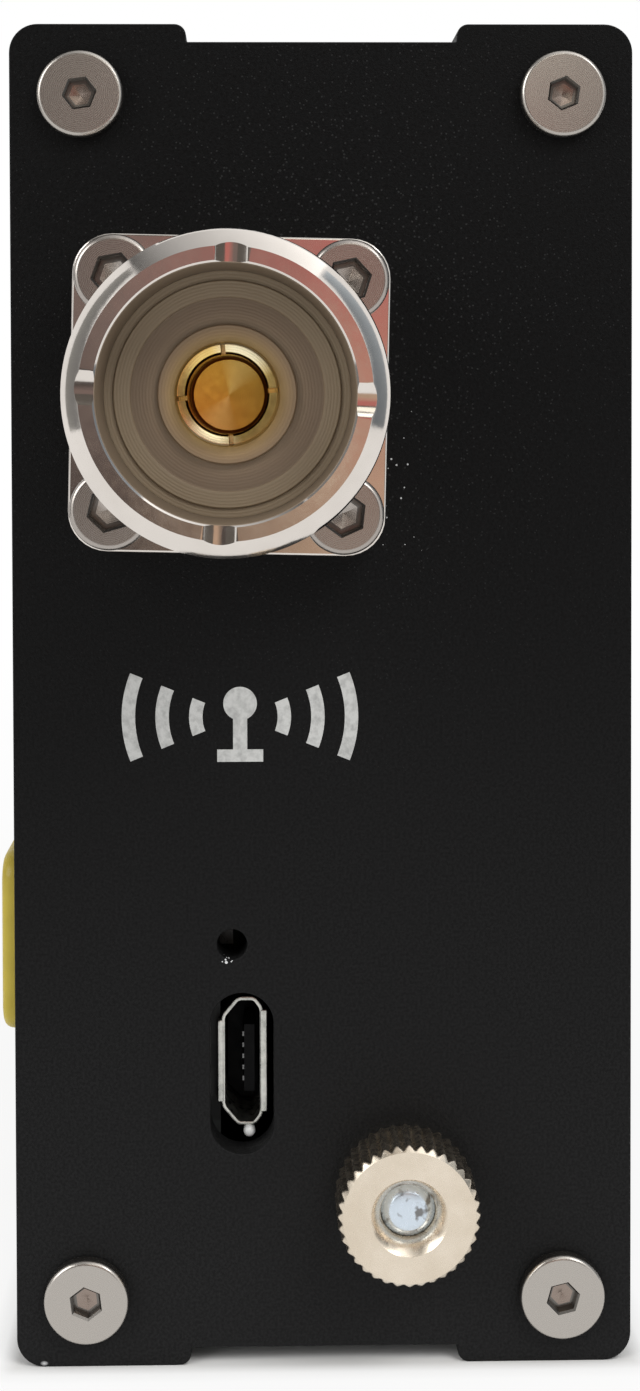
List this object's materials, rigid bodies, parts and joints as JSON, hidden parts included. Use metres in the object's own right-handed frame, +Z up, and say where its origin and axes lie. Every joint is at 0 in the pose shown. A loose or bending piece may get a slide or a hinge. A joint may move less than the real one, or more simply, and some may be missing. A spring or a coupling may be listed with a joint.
{
  "type": "swr power meter",
  "caption": "Inline standing wave and power meter: upright split aluminium case with a radio socket on each end, display, push button, charging port and ground terminal.",
  "frame": {"origin": "middle of the overall box on the surface that the case stands on", "axes": "+X along the case towards the antenna socket, -Y out of the front face, +Z up"},
  "size_m": [0.0982, 0.039, 0.076],
  "materials": {
    "anodised_black": "fine blasted black anodised",
    "screw_steel": "turned steel, satin",
    "nickel": "bright nickel plate",
    "insulator_grey": "turned plastic, satin",
    "gilt": "gilt, satin",
    "port_steel": "bright pressed steel",
    "black_plastic": "moulded, matt",
    "pale_plastic": "moulded, matt",
    "yellow_plastic": "moulded, satin gloss",
    "circuit_board": "solder mask",
    "lamp": "smoked resin",
    "display_glass": "dark glass",
    "window_acrylic": "smoked acrylic, gloss",
    "ferrite": "pressed ferrite, matt",
    "copper_wire": "enamelled copper",
    "line_sleeve": "sleeved wire",
    "trimmer_blue": "moulded",
    "diode_glass": "glass body",
    "capacitor_tan": "fired ceramic",
    "cell_foil": "laminated foil pouch",
    "foam_pad": "foam tape",
    "lead_red": "soft sleeve",
    "lead_black": "soft sleeve",
    "lead_green": "soft sleeve"
  },
  "bodies": {
    "case": {"front_shell": "anodised_black", "rear_shell": "anodised_black", "antenna_plate": "anodised_black", "transmitter_plate": "anodised_black", "antenna_plate_screws": "screw_steel", "transmitter_plate_screws": "screw_steel", "antenna_socket_body": "nickel", "antenna_socket_insulator": "insulator_grey", "antenna_socket_contact": "gilt", "antenna_socket_screws": "screw_steel", "antenna_socket_nuts": "screw_steel", "transmitter_socket_body": "nickel", "transmitter_socket_insulator": "insulator_grey", "transmitter_socket_contact": "gilt", "transmitter_socket_screws": "screw_steel", "transmitter_socket_nuts": "screw_steel", "ground_stud": "nickel", "ground_lug": "nickel", "ground_lead": "lead_green", "main_board": "circuit_board", "port_shell": "port_steel", "port_tongue": "black_plastic", "port_contacts": "gilt", "charge_led": "lamp", "through_line": "line_sleeve", "current_core": "ferrite", "current_winding": "copper_wire", "voltage_core": "ferrite", "voltage_winding": "copper_wire", "balance_trimmers": "trimmer_blue", "detector_diodes": "diode_glass", "board_capacitors": "capacitor_tan", "controller_chip": "black_plastic", "charger_chip": "black_plastic", "power_switch": "black_plastic", "display_board": "circuit_board", "display_panel": "display_glass", "display_window": "window_acrylic", "display_header": "black_plastic", "display_spacers": "gilt", "display_screws": "screw_steel", "battery_cell": "cell_foil", "battery_pad": "foam_pad", "battery_header": "pale_plastic", "battery_plug": "pale_plastic", "battery_lead_positive": "lead_red", "battery_lead_negative": "lead_black"},
    "power_button": {"button_cap": "yellow_plastic", "switch_plunger": "pale_plastic"},
    "ground_washer_body": {"ground_washer": "nickel"},
    "ground_nut": {"ground_thumb_nut": "nickel"}
  },
  "joints": [
    {"name": "power_button_press", "type": "slide", "parent": "case", "child": "power_button", "axis": [0, 1, 0], "range_m": [0, 0.0018], "stiffness_N_per_m": 800, "springref_m": -0.0005},
    {"name": "ground_nut_lift", "type": "slide", "parent": "case", "child": "ground_washer_body", "axis": [1, 0, 0], "range_m": [0, 0.002]},
    {"name": "ground_nut_turn", "type": "hinge", "parent": "ground_washer_body", "child": "ground_nut", "pos_m": [0.0326, 0.00655, 0.0102], "axis": [1, 0, 0], "range_deg": [0, 1440]}
  ],
  "couplings": [
    {"joint": "ground_nut_turn", "follows": "ground_nut_lift", "rad_per_m": 12566}
  ]
}
